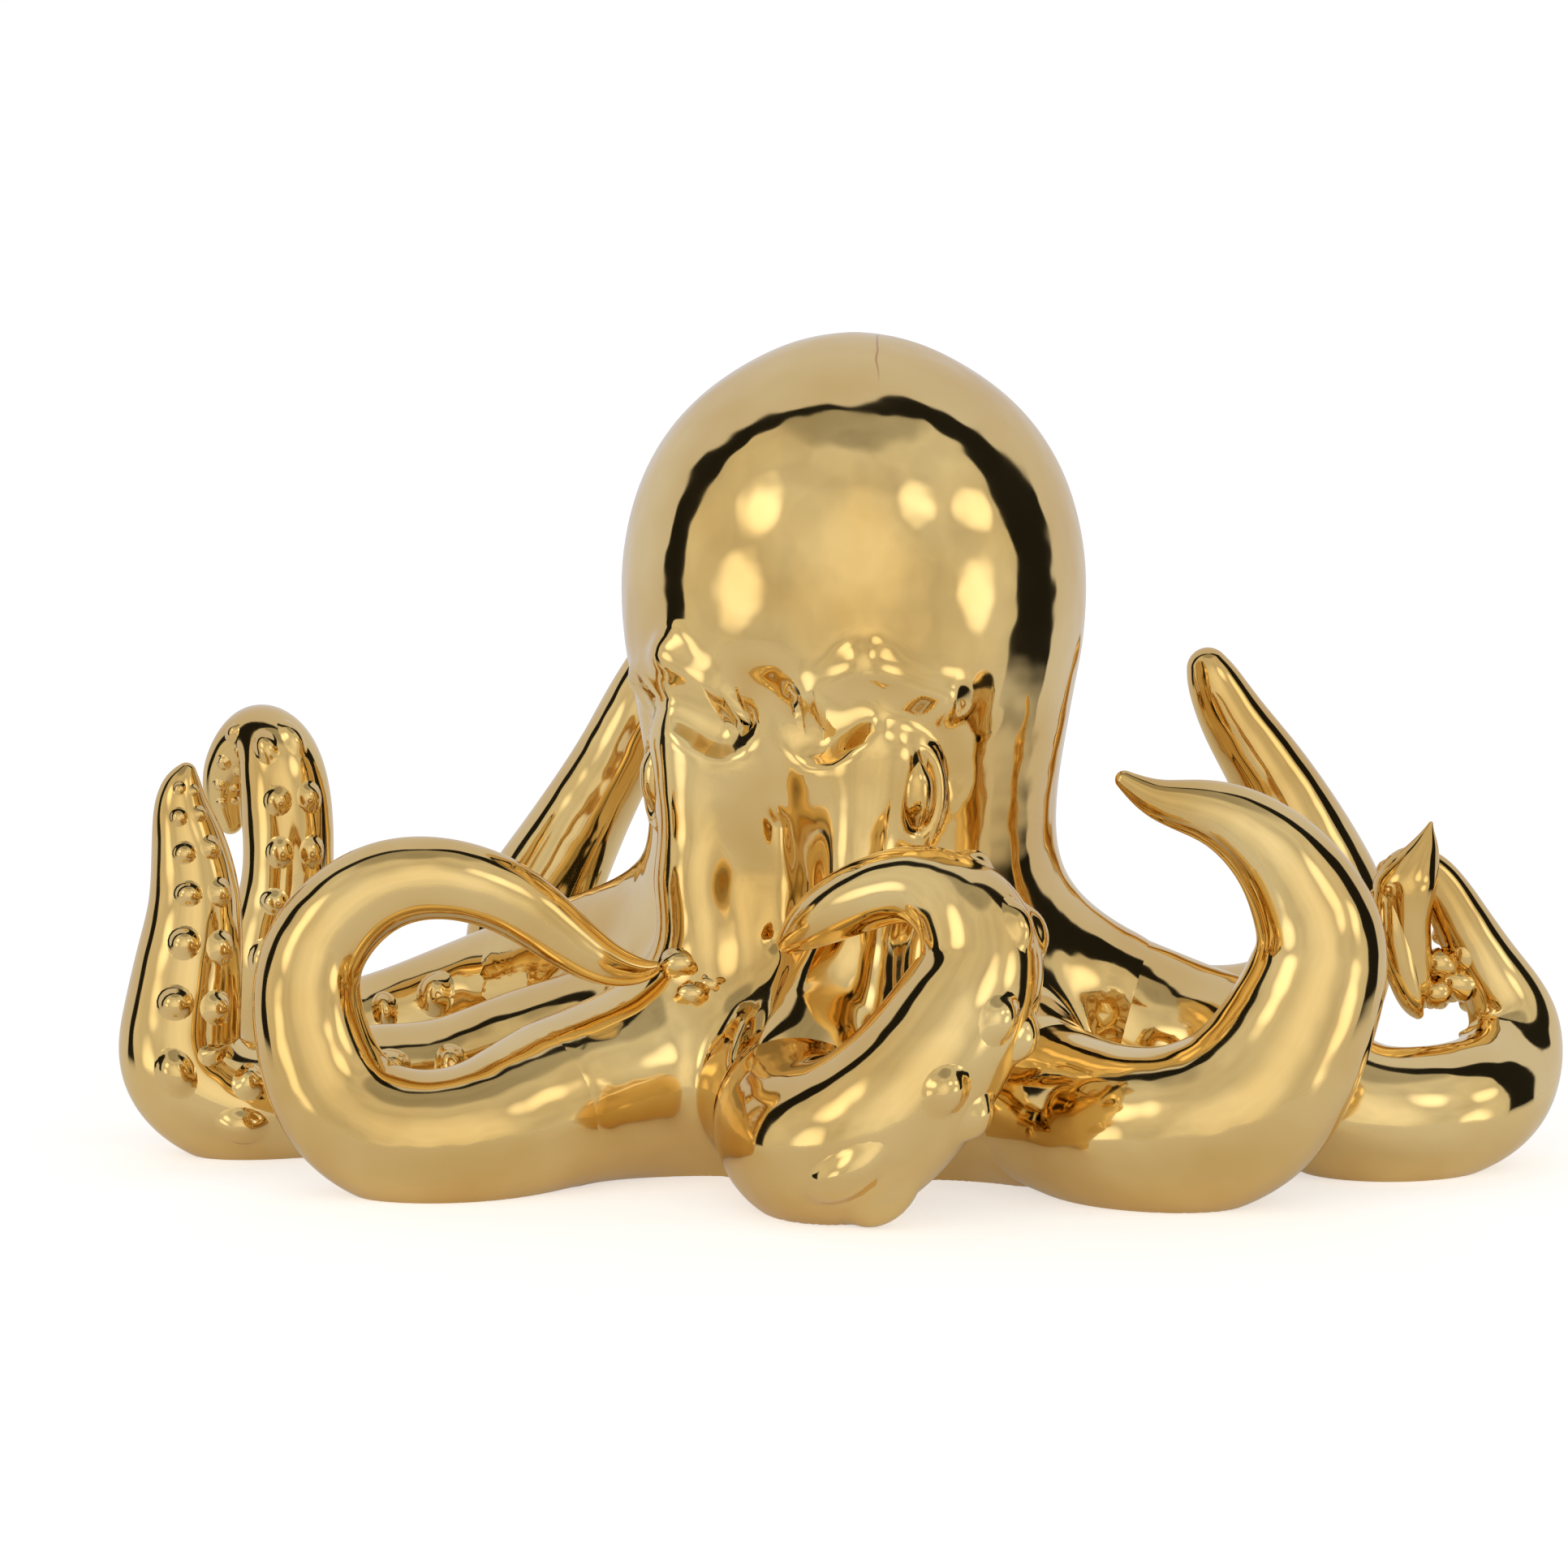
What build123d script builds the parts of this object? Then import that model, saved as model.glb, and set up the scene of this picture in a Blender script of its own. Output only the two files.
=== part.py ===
"""Octopus figurine: a hollow slip-cast body with eight cast arms luted on,
sprigged suckers and eyes, and a flat trimmed underside that rests on a shelf.

X is to the right of the front view, Y to the back and Z up.  The origin is on
the floor, under the middle of the figurine's box.  All sizes are millimetres.
"""
import os
from math import cos, pi, radians, sin

import numpy as np
from build123d import *

os.makedirs("parts", exist_ok=True)

# Overall sizes of the head
head_height = 168.9
head_radius = 47.5
head_side_offset = 2.7
origin_left = -0.3
origin_forward = 2.93

# Walls of the castings
wall = 4.5
foot_cut = 2.5
vent_diameter = 3.0

# Arms
arm_reach = 100.25
arm_rise = 100.0
arm_radius = 20.0
least_cavity_radius = 2.5
stations_per_row = 3
fine_steps_per_row = 40
tip_round_angles = (30.0, 60.0, 82.0)

# Suckers, sized from the arm that carries them
sucker_size_share = 0.23
sucker_row_angle = 22.0
sucker_step_share = 1.08
sucker_cap_latitude = 30.0
sucker_least_arm_radius = 4.0
sucker_gap = 0.25
sucker_rim_steps = 16

# Face: spreads are degrees from its middle, depths are from the head's axis
face_turn = 25.0
eye_spread = 41.0
eye_height = 79.5
eye_mound_radius = 13.0
eye_mound_depth = 31.0
eye_thickness = 3.4
eye_length = 14.0
eye_seat = 0.2
brow_spreads = (12.0, 27.0, 47.0)
brow_depths = (42.0, 43.5, 43.0)
brow_heights_above_eye = (14.5, 22.0, 16.5)
brow_radii = (3.2, 4.6, 3.4)
pillar_spreads = (30.0, 27.0, 17.0)
pillar_depths = (37.5, 38.5, 39.0)
pillar_heights_below_eye = (-7.0, 19.5, 53.5)
pillar_radii = (10.0, 8.5, 8.0)
trough_depths = (53.0, 48.5, 49.5)
trough_heights_below_eye = (-13.5, 19.5, 45.0)
trough_radii = (8.0, 10.0, 9.0)

# Eye profile: (place along its length, radius) as shares of its length and thickness
eye_profile_shares = [
    (-0.50, 0.10), (-0.42, 0.45), (-0.28, 0.80), (-0.12, 0.98), (0.0, 1.0),
    (0.12, 0.98), (0.28, 0.80), (0.42, 0.45), (0.50, 0.10),
]

# The dab of slip that joins the loop's tip to its own root
dab_radius = 3.4
dab_seat = 0.4

# Head profile: (radius, height) as shares of head_radius and head_height
head_profile_shares = [
    (0.70, 0.0), (0.76, 0.12), (0.80, 0.24), (0.82, 0.34), (0.86, 0.43), (0.905, 0.50),
    (0.945, 0.56), (0.985, 0.62), (1.0, 0.68), (0.993, 0.735), (0.947, 0.795), (0.863, 0.853),
    (0.741, 0.90), (0.579, 0.941), (0.40, 0.971), (0.21, 0.992),
]

# Flare where the head meets the arms: (radius, height) as shares of the same sizes
skirt_profile_shares = [(1.12, 0.17), (0.98, 0.22), (0.895, 0.28), (0.855, 0.34), (0.84, 0.39)]

# Arm centre lines: (across, back, up, thick) as shares of arm_reach, arm_reach,
# arm_rise and arm_radius.  An arm whose row lies low rests on the floor.
# "seam" is the row at which the arm's casting meets the body's stub, and
# "facing" is the way that the suckers look, evenly spaced from the root to the tip.
arms = {
    "front_left": {
        "seam": 4,
        "path_shares": [
            (-.02, -.02, .20, 1.0), (-.16, -.09, .20, 1.0), (-.29, -.18, .19, .98),
            (-.42, -.28, .18, .92), (-.56, -.40, .165, .86), (-.71, -.50, .0, .74),
            (-.87, -.52, .0, .70), (-1.00, -.49, .19, .64), (-1.06, -.46, .345, .56),
            (-1.045, -.44, .485, .51), (-.94, -.43, .595, .46), (-.80, -.43, .625, .41),
            (-.665, -.42, .585, .37), (-.56, -.41, .51, .31), (-.475, -.39, .45, .235),
            (-.405, -.37, .43, .14), (-.37, -.36, .435, .07),
        ],
        "facing": ((0.2, 1.0, 0.1), (0.0, 1.0, 0.1)),
    },
    "front": {
        "seam": 3,
        "path_shares": [
            (.04, .0, .20, 1.0), (.0, -.16, .20, .98), (-.04, -.32, .19, .95),
            (-.07, -.47, .17, .91), (-.075, -.61, .0, .87), (-.035, -.735, .0, .85),
            (.055, -.805, .195, .81), (.155, -.80, .295, .75), (.235, -.77, .41, .69),
            (.27, -.735, .50, .62), (.25, -.70, .58, .55), (.20, -.66, .625, .46),
            (.125, -.62, .64, .38), (.02, -.57, .60, .34), (-.06, -.52, .545, .25),
            (-.11, -.48, .50, .11),
        ],
        "facing": ((0.2, -0.9, -0.3), (0.35, -0.85, -0.2), (0.9, -0.35, 0.1), (0.5, 1.0, 0.1)),
    },
    "front_right": {
        "seam": 3,
        "path_shares": [
            (.06, -.02, .20, 1.0), (.17, -.10, .19, .96), (.28, -.22, .17, .88),
            (.40, -.39, .165, .84), (.53, -.55, .0, .84), (.68, -.62, .0, .87),
            (.81, -.62, .215, .86), (.90, -.60, .35, .76), (.945, -.58, .49, .67),
            (.92, -.57, .60, .58), (.85, -.56, .70, .46), (.745, -.55, .77, .335),
            (.635, -.54, .797, .215), (.555, -.53, .84, .09),
        ],
        "facing": ((-0.2, 1.0, 0.0), (0.0, 1.0, 0.1)),
    },
    "right": {
        "seam": 3,
        "path_shares": [
            (.06, .0, .33, 1.15), (.22, .01, .315, 1.15), (.38, .02, .29, 1.12),
            (.53, .02, .25, 1.04), (.69, -.02, .205, .97), (.83, -.12, .185, .88),
            (.935, -.23, .165, .80), (1.05, -.29, .0, .745), (1.17, -.29, .0, .71),
            (1.285, -.23, .135, .66), (1.36, -.125, .18, .58), (1.385, -.05, .27, .47),
            (1.34, -.03, .37, .37), (1.28, -.035, .475, .30), (1.218, -.05, .572, .235),
            (1.155, -.07, .588, .215), (1.132, -.09, .51, .215), (1.145, -.095, .42, .195),
            (1.17, -.095, .33, .14), (1.19, -.09, .29, .05),
        ],
        "facing": ((0.0, 1.0, 0.3), (-1.0, 0.2, -0.3)),
    },
    "back_right": {
        "seam": 3,
        "path_shares": [
            (.06, .04, .20, .95), (.18, .17, .20, .93), (.31, .31, .18, .88),
            (.45, .45, .165, .82), (.62, .57, .155, .78), (.80, .66, .0, .75),
            (.965, .70, .145, .74), (1.05, .70, .235, .72), (1.07, .70, .36, .67),
            (1.035, .69, .485, .59), (.98, .68, .605, .50), (.92, .67, .71, .43),
            (.855, .66, .81, .365), (.81, .65, .895, .29), (.79, .65, .94, .21),
        ],
        "facing": ((0.6, 1.0, 0.0), (0.3, 1.0, 0.2)),
    },
    "back_left": {
        "seam": 3,
        "path_shares": [
            (.0, .04, .20, .95), (-.06, .20, .20, .90), (-.13, .38, .18, .85),
            (-.21, .56, .16, .80), (-.32, .74, .0, .77), (-.46, .86, .0, .75),
            (-.60, .86, .155, .73), (-.665, .79, .26, .70), (-.655, .74, .38, .65),
            (-.60, .72, .495, .57), (-.535, .70, .615, .49), (-.47, .69, .735, .44),
            (-.41, .67, .86, .40), (-.355, .66, .975, .32), (-.33, .65, 1.06, .22),
        ],
        "facing": ((-0.5, 1.0, 0.0), (-0.2, 1.0, 0.1)),
    },
    "left_back": {
        "seam": 4,
        "path_shares": [
            (-.02, .02, .38, 1.15), (-.17, .12, .38, 1.15), (-.33, .23, .34, 1.08),
            (-.48, .34, .29, 1.0), (-.63, .44, .24, .92), (-.79, .49, .19, .82),
            (-.95, .50, .145, .73), (-1.09, .46, .145, .66), (-1.175, .41, .24, .58),
            (-1.19, .38, .35, .54), (-1.17, .38, .455, .50), (-1.16, .38, .56, .48),
            (-1.165, .39, .67, .48), (-1.185, .41, .765, .43), (-1.23, .45, .80, .34),
            (-1.28, .48, .755, .28), (-1.305, .50, .68, .22), (-1.29, .50, .605, .13),
        ],
        "facing": ((0.2, -1.0, 0.3), (0.3, -1.0, 0.2)),
    },
    "left": {
        "seam": 4,
        "path_shares": [
            (-.03, .0, .30, 1.05), (-.19, .02, .28, 1.0), (-.34, .03, .24, .92),
            (-.49, .04, .20, .84), (-.64, .04, .165, .79), (-.80, .03, .0, .73),
            (-.95, .0, .0, .70), (-1.10, -.04, .0, .67), (-1.24, -.07, .0, .65),
            (-1.34, -.07, .175, .645), (-1.35, -.05, .28, .61), (-1.335, -.03, .40, .55),
            (-1.325, -.01, .51, .48), (-1.335, .0, .62, .40), (-1.35, .0, .71, .29),
            (-1.345, .0, .765, .19), (-1.335, .0, .795, .08),
        ],
        "facing": ((0.3, -1.0, 0.2), (0.35, -1.0, 0.1)),
    },
}


def smooth_line(rows, per_row):
    """Natural cubic spline through the rows, per_row steps from row to row."""
    count = len(rows)
    matrix = np.eye(count)
    right_side = np.zeros(rows.shape)
    for row in range(1, count - 1):
        matrix[row, row - 1:row + 2] = (1, 4, 1)
        right_side[row] = 6 * (rows[row - 1] - 2 * rows[row] + rows[row + 1])
    bend = np.linalg.solve(matrix, right_side)
    place = np.linspace(0, count - 1, (count - 1) * per_row + 1)
    low = np.minimum(place.astype(int), count - 2)
    ahead = (place - low)[:, None]
    behind = 1 - ahead
    return (
        rows[low] * behind + rows[low + 1] * ahead
        + (behind**3 - behind) * bend[low] / 6 + (ahead**3 - ahead) * bend[low + 1] / 6
    )


def real_rows(rows):
    """Real centre points and radii of rows of shares; low rows rest on the floor."""
    shares = np.array(rows)
    radius = shares[:, 3] * arm_radius
    height = np.maximum(shares[:, 2] * arm_rise, radius - foot_cut)
    across = shares[:, 0] * arm_reach + origin_left
    back = shares[:, 1] * arm_reach - origin_forward
    return np.column_stack((across, back, height, radius))


def directions(line):
    """Unit vectors along a line of points."""
    along = np.gradient(line[:, :3], axis=0)
    return along / np.linalg.norm(along, axis=1)[:, None]


def rounded_end(line, along):
    """The line with a few more points whose circles close its end as a dome."""
    end, way, radius = line[-1, :3], along[-1], line[-1, 3]
    for angle in tip_round_angles:
        turn = radians(angle)
        point = end + way * radius * sin(turn)
        line = np.vstack((line, np.append(point, radius * cos(turn))))
        along = np.vstack((along, way))
    return line, along


def steady_sides(along):
    """Side directions that turn with the line and never roll about it."""
    sides = [np.cross(along[0], (0.1, 0.2, 1.0))]
    for way in along:
        side = sides[-1] - way * np.dot(sides[-1], way)
        sides.append(side / np.linalg.norm(side))
    return sides[1:]


def tube(line, along, inset):
    """Solid lofted through circles that follow the line, smaller by the inset."""
    with BuildPart() as skin:
        for point, way, side in zip(line, along, steady_sides(along)):
            plane = Plane(origin=tuple(point[:3]), x_dir=tuple(side), z_dir=tuple(way))
            with BuildSketch(plane):
                Circle(point[3] - inset)
        loft()
    return skin.part


def head_profile(inset):
    """Head profile moved inwards, square to itself, by the inset."""
    rows = np.array(head_profile_shares) * (head_radius, head_height)
    along = np.gradient(rows, axis=0)
    along /= np.linalg.norm(along, axis=1)[:, None]
    moved = rows + inset * np.column_stack((-along[:, 1], along[:, 0]))
    moved[0] = (rows[0, 0] - inset, inset)
    moved[-1] = (0.0, head_height - inset)
    return [tuple(row) for row in moved]


def head_solid(inset):
    """Head turned from its profile, with a flat base as high as the inset."""
    points = head_profile(inset)
    with BuildPart() as turned:
        with BuildSketch(Plane.XZ):
            with BuildLine():
                Spline(points, tangents=((0.2, 1.0), (-1.0, 0.0)))
                Polyline(points[-1], (0.0, points[0][1]), points[0])
            make_face()
        revolve(axis=Axis.Z)
    return turned.part.moved(head_place)


def head_skirt():
    """Flare round the foot of the head, where its clay flows out over the arms' roots."""
    points = [
        (radius * head_radius, height * head_height) for radius, height in skirt_profile_shares
    ]
    with BuildPart() as turned:
        with BuildSketch(Plane.XZ):
            with BuildLine():
                Spline(points)
                Polyline(points[-1], (0.0, points[-1][1]), (0.0, points[0][1]), points[0])
            make_face()
        revolve(axis=Axis.Z)
    return turned.part.moved(head_place)


def face_plane(angle, depth, height):
    """Plane on the face: its Z points out of the head and its X to the right."""
    turn = radians(angle + face_turn)
    out = Vector(-sin(turn), -cos(turn), 0.0)
    origin = head_place.position + out * depth + Vector(0.0, 0.0, height)
    return Plane(origin=origin, x_dir=Vector(cos(turn), -sin(turn), 0.0), z_dir=out)


def drop(start, end, start_radius, end_radius):
    """Straight drop of clay: a cone whose two ends are round."""
    way = (end - start).normalized()
    with BuildPart() as clay:
        for point, radius in ((start, start_radius), (end, end_radius)):
            with BuildSketch(Plane(point, z_dir=way)):
                Circle(radius)
        loft()
        with Locations(start):
            Sphere(start_radius)
        with Locations(end):
            Sphere(end_radius)
    return clay.part


def drops(spreads, depths, heights, radii):
    """Two drops in a row through three points on the face."""
    points = [
        face_plane(spread, depth, height).origin
        for spread, depth, height in zip(spreads, depths, heights)
    ]
    return [drop(points[row], points[row + 1], radii[row], radii[row + 1]) for row in (0, 1)]


def brow(side):
    """Ridge over one eye, arched from the middle of the face round to its side."""
    heights = [eye_height + above for above in brow_heights_above_eye]
    return drops([side * spread for spread in brow_spreads], brow_depths, heights, brow_radii)


def pillar(side, gap=0.0):
    """Upright ridge from the brow down past the eye to the arms, wider by the gap."""
    heights = [eye_height - below for below in pillar_heights_below_eye]
    radii = [radius + gap for radius in pillar_radii]
    return drops([side * spread for spread in pillar_spreads], pillar_depths, heights, radii)


def trough(growth):
    """Valley down the middle of the face, between the pillars, wider by the growth."""
    heights = [eye_height - below for below in trough_heights_below_eye]
    radii = [radius + growth for radius in trough_radii]
    return drops((0.0, 0.0, 0.0), trough_depths, heights, radii)


def eye_mound(side, gap=0.0):
    """Ball that the eye sits on, larger by the gap."""
    with BuildPart() as ball:
        with Locations(face_plane(side * eye_spread, eye_mound_depth, eye_height)):
            Sphere(eye_mound_radius + gap)
    return ball.part


def sucker_seats(name):
    """Planes and radii of one arm's suckers: two rows, closer where it is thin.

    Each flat base is lifted until its whole rim stands clear of the arm by the gap.
    """
    rim_turns = np.linspace(0, 2 * pi, sucker_rim_steps)[:, None]
    fine = smooth_line(real_rows(arms[name]["path_shares"]), fine_steps_per_row)
    along = directions(fine)
    turns = np.array(arms[name]["facing"])
    stops = np.linspace(0, 1, len(turns))
    steps = 0
    travelled = 0.0
    seats = []
    for place in range(arms[name]["seam"] * fine_steps_per_row + 1, len(fine)):
        centre, radius = fine[place, :3], fine[place, 3]
        travelled += np.linalg.norm(centre - fine[place - 1, :3]) / radius
        if travelled < (steps + 1) * sucker_step_share or radius < sucker_least_arm_radius:
            continue
        steps += 1
        share = place / len(fine)
        facing = np.array([np.interp(share, stops, turns[:, axis]) for axis in range(3)])
        facing -= along[place] * np.dot(facing, along[place])
        facing /= np.linalg.norm(facing)
        beside = np.cross(along[place], facing)
        for turn in (-radians(sucker_row_angle), radians(sucker_row_angle)):
            out = facing * cos(turn) + beside * sin(turn)
            size = radius * sucker_size_share
            across = np.cross(out, along[place])
            rim = centre + out * radius + size * (
                np.cos(rim_turns) * across + np.sin(rim_turns) * along[place]
            )
            reach = np.linalg.norm(rim[:, None] - fine[:, :3], axis=2) - fine[:, 3]
            seat = centre + out * (radius + sucker_gap - reach.min())
            if seat[2] > size:
                seats.append((Plane(origin=tuple(seat), z_dir=tuple(out)), size))
    return seats


def write(part, name):
    """Label a finished piece and write its file."""
    part.label = name
    export_step(part, "parts/" + name + ".step")


head_place = Location((head_side_offset, -origin_forward, 0.0))
lines = {name: smooth_line(real_rows(arm["path_shares"]), stations_per_row) for name, arm in arms.items()}
ways = {name: directions(line) for name, line in lines.items()}

# Body casting: head, face, hub and eight stubs in one shell, flat underneath
face_forms = [eye_mound(1), eye_mound(-1)] + brow(1) + brow(-1) + pillar(1) + pillar(-1)
valley = trough(0.0)
valley_walls = trough(wall)
stubs = []
stub_hollows = []
for name, arm in arms.items():
    seam = arm["seam"] * stations_per_row
    stubs.append(tube(lines[name][:seam + 1], ways[name][:seam + 1], 0.0))
    stub_hollows.append(tube(lines[name][:seam + 2], ways[name][:seam + 2], wall))
head_outside = head_solid(0.0)
head_hollow = head_solid(wall)
skirt = head_skirt()
with BuildPart() as hollow:
    add(head_hollow)
    add(valley_walls, mode=Mode.SUBTRACT)
with BuildPart() as head_casting:
    add([head_outside, skirt] + face_forms)
    add(valley, mode=Mode.SUBTRACT)
with BuildPart() as body_casting:
    add(head_casting.part)
    add(stubs)
    add([hollow.part] + stub_hollows, mode=Mode.SUBTRACT)
    split(bisect_by=Plane.XY, keep=Keep.TOP)
    with Locations(head_place):
        Cylinder(vent_diameter / 2, wall * 3, mode=Mode.SUBTRACT)
write(body_casting.part, "body_casting")

# Arm castings: hollow from the seam until the arm gets thin, solid at the tip
for name, arm in arms.items():
    seam = arm["seam"] * stations_per_row
    line, along = rounded_end(lines[name], ways[name])
    last = np.nonzero(lines[name][:, 3] > wall + least_cavity_radius)[0][-1] + 1
    outside = tube(line[seam:], along[seam:], 0.0)
    hollow = tube(line[seam - 1:last], along[seam - 1:last], wall)
    with BuildPart() as arm_casting:
        add(outside)
        split(bisect_by=Plane.XY, keep=Keep.TOP)
        add(hollow, mode=Mode.SUBTRACT)
    write(arm_casting.part, "arm_" + name)

# Suckers: low domes of clay pressed on each arm in two rows
cap_ball_share = 1 / cos(radians(sucker_cap_latitude))
for name in arms:
    with BuildPart() as suckers:
        for seat, radius in sucker_seats(name):
            with Locations(seat):
                Sphere(
                    radius * cap_ball_share,
                    arc_size1=sucker_cap_latitude,
                    arc_size2=90,
                    align=(Align.CENTER, Align.CENTER, Align.MIN),
                )
    write(suckers.part, "suckers_" + name)

# Eyes: spindles of clay, hollowed to sit on their mounds, the pillars and the head
head_seat = head_solid(-eye_seat)
for side, name in ((1, "eye_left"), (-1, "eye_right")):
    mound = eye_mound(side, eye_seat)
    middle = face_plane(side * eye_spread, eye_mound_depth + eye_mound_radius, eye_height).origin
    shares = np.array(eye_profile_shares)
    rows = np.tile((middle.X, middle.Y, middle.Z, 0.0), (len(shares), 1))
    rows[:, 2] += shares[:, 0] * eye_length
    rows[:, 3] = shares[:, 1] * eye_thickness
    upright = np.tile((0.0, 0.0, 1.0), (len(rows), 1))
    spindle = tube(rows, upright, 0.0)
    with BuildPart() as eye:
        add(spindle)
        add([mound, head_seat] + pillar(side, eye_seat), mode=Mode.SUBTRACT)
    write(eye.part, name)

# Dab of slip between the loop's tip and the root that it lies on
tip = lines["front_left"][-1]
seam = arms["front_left"]["seam"] * stations_per_row
root = tube(lines["front_left"][:seam + 2], ways["front_left"][:seam + 2], -dab_seat)
with BuildPart() as tip_dab:
    with Locations(tuple(tip[:3] + ways["front_left"][-1] * (tip[3] + dab_radius + dab_seat))):
        Sphere(dab_radius)
    add(root, mode=Mode.SUBTRACT)
write(tip_dab.part, "tip_dab")
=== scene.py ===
"""Looks of a gold-plated ceramic octopus: one flowing skin over head, face and arm roots,
eight curling arms with sprigged suckers, and a small studio that its mirror skin reflects.

Sizes are metres, X to the right of the front view, Y to the back and Z up.
"""
from math import cos, pi, radians, sin

import bpy
import numpy as np
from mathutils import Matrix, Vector


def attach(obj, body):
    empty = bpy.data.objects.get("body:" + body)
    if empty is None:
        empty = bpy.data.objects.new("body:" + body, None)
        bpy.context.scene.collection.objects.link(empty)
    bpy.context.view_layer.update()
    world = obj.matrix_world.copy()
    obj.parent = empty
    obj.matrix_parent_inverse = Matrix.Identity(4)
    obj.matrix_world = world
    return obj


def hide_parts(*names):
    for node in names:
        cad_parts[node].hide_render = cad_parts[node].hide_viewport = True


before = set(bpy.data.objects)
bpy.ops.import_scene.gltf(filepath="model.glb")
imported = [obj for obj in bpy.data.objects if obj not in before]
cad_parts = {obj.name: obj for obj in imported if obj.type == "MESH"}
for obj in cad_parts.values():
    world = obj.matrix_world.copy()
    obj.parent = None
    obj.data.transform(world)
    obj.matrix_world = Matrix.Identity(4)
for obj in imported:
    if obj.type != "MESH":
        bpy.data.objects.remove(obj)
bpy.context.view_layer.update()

# The arms' rows are shares of these sizes
REACH = 0.10025
RISE = 0.1
THICK = 0.02
SHIFT_ACROSS = -0.0003
SHIFT_BACK = -0.00293
FOOT_CUT = 0.0025

# Head
HEAD_RADIUS = 0.0475
HEAD_HEIGHT = 0.1689
HEAD_PLACE = np.array((0.0027, -0.00293, 0.0))
HEAD_HEART = 0.105
HEAD_SHARES = [
    (0.70, 0.0), (0.76, 0.12), (0.80, 0.24), (0.82, 0.34), (0.86, 0.43), (0.905, 0.50),
    (0.945, 0.56), (0.985, 0.62), (1.0, 0.68), (0.993, 0.735), (0.947, 0.795), (0.863, 0.853),
    (0.741, 0.90), (0.579, 0.941), (0.40, 0.971), (0.21, 0.992), (0.0, 1.0),
]

# How widely neighbouring forms flow into each other
HUB_FLOW = 0.036
ROOT_FLOW = 0.010

# Face
FACE_TURN = 25.0
EYE_SPREAD = 41.0
EYE_HEIGHT = 0.0795
EYE_DEPTH = 0.0432
LID_HALF_WIDTH = 0.0050
LID_HALF_HEIGHT = 0.0092
LID_RADIUS = 0.0016

# Forms of the face, as degrees from its middle, depth from the head's axis and height,
# with the radius there.  Each form runs through its places on both sides of the face.
PILLAR = ((31, 0.0375, 0.0870, 0.0100), (27, 0.0385, 0.0600, 0.0085), (17, 0.0390, 0.0260, 0.0080))
UNDER_BROW = ((14, 0.0460, 0.0925, 0.0075), (29, 0.0510, 0.0985, 0.0055))
BEHIND_EYE = ((29, 0.0510, 0.0985, 0.0050), (43, 0.0500, 0.0955, 0.0055), (51, 0.0500, 0.0820, 0.0080))
BROW = ((9, 0.0438, 0.0975, 0.0030), (27, 0.0452, 0.1055, 0.0046), (48, 0.0445, 0.0990, 0.0032))
TROUGH = ((0, 0.0500, 0.0960, 0.0080), (0, 0.0470, 0.0600, 0.0100), (0, 0.0475, 0.0300, 0.0085))
CREASE = ((0, 0.0375, 0.0720, 0.0020), (-1, 0.0395, 0.0500, 0.0026), (-4, 0.0585, 0.0280, 0.0026))

# How widely the face's forms flow into it, or their cuts are rounded
PILLAR_FLOW = 0.008
BROW_FLOW = 0.006
LID_FLOW = 0.003
CUT_FLOW = 0.003
TROUGH_FLOW = 0.010

# Lumps of slip left on the arms: name, middle, half sizes and phase of their waves
TIP_DAB = ("tip_dab_skin", (-0.0325, -0.0376, 0.0440), (0.0042, 0.0036, 0.0030), 0.4)
SLIP_LUMPS = [
    ("slip_lump_1", (-0.0300, -0.0420, 0.0385), (0.0034, 0.0026, 0.0024), 1.3),
    ("slip_lump_2", (-0.0262, -0.0395, 0.0400), (0.0030, 0.0026, 0.0022), 2.6),
    ("slip_lump_3", (0.1232, -0.0105, 0.0395), (0.0036, 0.0030, 0.0032), 0.7),
    ("slip_lump_4", (0.1272, -0.0100, 0.0352), (0.0044, 0.0030, 0.0034), 2.1),
    ("slip_lump_5", (0.1222, -0.0110, 0.0335), (0.0034, 0.0028, 0.0030), 3.9),
    ("slip_lump_6", (0.1285, -0.0095, 0.0412), (0.0036, 0.0030, 0.0042), 5.2),
]

# Blade pinched from the right arm where it turns down: across, up, half width, half depth
PEAK_BACK = -0.0108
PEAK_ROWS = [
    (0.1210, 0.0692, 0.0003, 0.0003), (0.1203, 0.0670, 0.0014, 0.0014), (0.1188, 0.0632, 0.0038, 0.0034),
    (0.1162, 0.0580, 0.0064, 0.0058), (0.1158, 0.0536, 0.0062, 0.0062), (0.1160, 0.0487, 0.0052, 0.0058),
    (0.1166, 0.0437, 0.0048, 0.0050), (0.1176, 0.0385, 0.0040, 0.0042), (0.1187, 0.0336, 0.0030, 0.0034),
    (0.1195, 0.0303, 0.0008, 0.0010),
]

# Studio: directions, angles in degrees from a light's middle, and brightness
FRONT_AXIS = (-0.05, -0.998, 0.02)
FRONT_LIGHT = 0.68
BACK_LIGHT = 0.66
GAP_LIGHT = 0.015
GAP_TOP = 0.07
GAP_RIGHT = 0.46
GAP_LEFT = 0.24
CEILING_DIM = 0.42
SOFT_LIGHTS = [
    ((-0.70, -0.49, 0.52), 2.0, 15.0, 1.00),
    ((0.49, -0.64, 0.58), 2.0, 13.0, 0.90),
    ((0.84, -0.30, 0.44), 2.0, 11.0, 0.90),
    ((-0.86, -0.50, 0.02), 2.0, 15.0, 0.80),
    ((0.88, -0.46, -0.02), 2.0, 13.0, 0.90),
    ((0.0, -0.97, 0.22), 3.0, 36.0, 0.30),
    ((0.23, -0.78, -0.58), 2.0, 28.0, 0.36),
]
FRONT_TINT = (1.0, 0.965, 0.87, 1.0)
BACK_TINT = (1.0, 0.99, 1.04, 1.0)
FLOOR_SIZE = 30.0
FLOOR_GLOW = 0.55
TABLE_GLOW = 0.15
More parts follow.
